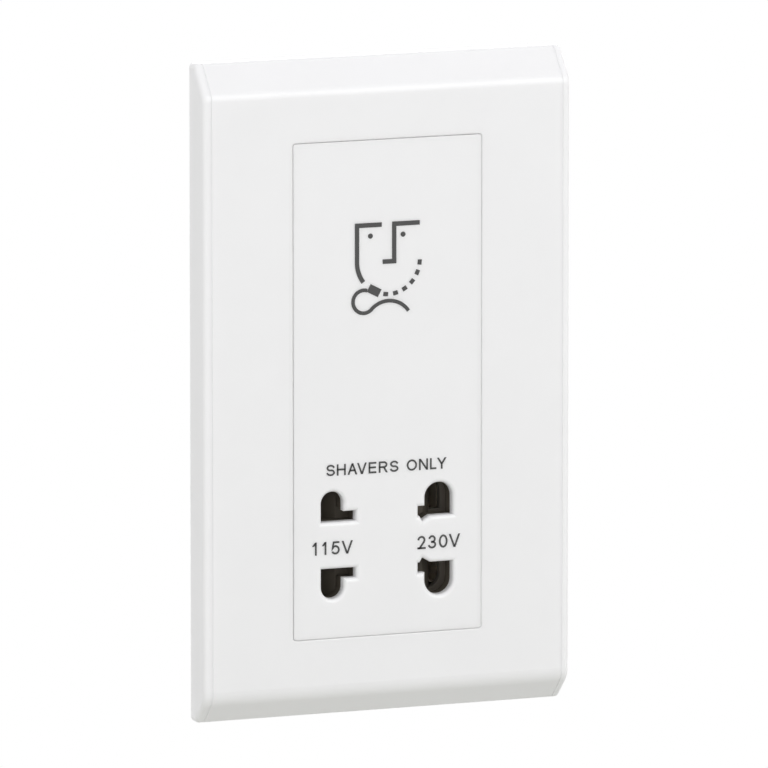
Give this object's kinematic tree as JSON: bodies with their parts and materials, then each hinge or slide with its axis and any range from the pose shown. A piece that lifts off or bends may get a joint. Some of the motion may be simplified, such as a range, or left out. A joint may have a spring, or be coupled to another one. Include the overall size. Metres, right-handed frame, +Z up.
{
  "type": "shaver socket",
  "caption": "Tall white wall plate with a flush dual-voltage shaver outlet, a sprung inner shutter and a transformer housing behind.",
  "frame": {"origin": "centre of the wall-box screw pattern on the back plane of the plate, where the wall begins", "axes": "+X to the right seen from the front, +Y into the wall, +Z up"},
  "size_m": [0.086, 0.0465, 0.146],
  "materials": {
    "white_plastic": "smooth satin white",
    "dark_plastic": "fine matt dark brown",
    "contact_plastic": "matt dark grey",
    "frame_plastic": "matt light grey",
    "housing_plastic": "matt grey",
    "terminal_plastic": "matt black",
    "bobbin_plastic": "matt natural",
    "brass": "rolled brass",
    "tinned_bronze": "dull tinned strip",
    "zinc_steel": "bright zinc",
    "core_steel": "varnished laminations",
    "copper": "enamelled winding wire",
    "tape": "yellow polyester tape",
    "cutout_case": "matt black",
    "brown_lead": "smooth insulation",
    "blue_lead": "smooth insulation",
    "earth_lead": "smooth green and yellow insulation",
    "red_lead": "smooth insulation",
    "black_lead": "smooth insulation",
    "grey_lead": "smooth insulation"
  },
  "bodies": {
    "socket": {"cover_plate": "white_plastic", "socket_front": "white_plastic", "aperture_guide": "dark_plastic", "shutter_spring_left": "zinc_steel", "shutter_spring_right": "zinc_steel", "support_frame": "frame_plastic", "rear_housing": "housing_plastic", "housing_screws": "zinc_steel", "contact_housing": "contact_plastic", "contact_cover": "contact_plastic", "contact_screws": "zinc_steel", "contact_115v_upper": "tinned_bronze", "contact_115v_lower": "tinned_bronze", "contact_230v_upper": "tinned_bronze", "contact_230v_lower": "tinned_bronze", "core_e_stack": "core_steel", "core_i_stack": "core_steel", "core_straps": "zinc_steel", "strap_screws": "zinc_steel", "coil_bobbin": "bobbin_plastic", "coil_tags": "brass", "primary_winding": "copper", "secondary_winding": "copper", "primary_tape": "tape", "secondary_tape": "tape", "thermal_cutout": "cutout_case", "terminal_block": "terminal_plastic", "terminal_block_screws": "zinc_steel", "terminal_screws": "zinc_steel", "live_clamp": "brass", "neutral_clamp": "brass", "earth_clamp": "brass", "live_lead": "brown_lead", "cutout_lead": "brown_lead", "neutral_lead": "blue_lead", "earth_lead": "earth_lead", "lead_115v": "red_lead", "lead_230v": "black_lead", "common_lead": "grey_lead", "common_link": "grey_lead"},
    "shutter": {"shutter_slider": "dark_plastic"}
  },
  "joints": [
    {"name": "shutter_slide", "type": "slide", "parent": "socket", "child": "shutter", "axis": [1, 0, 0], "range_m": [-0.0056, 0.0056], "stiffness_N_per_m": 250, "deforming": ["shutter_spring_left", "shutter_spring_right"]}
  ]
}
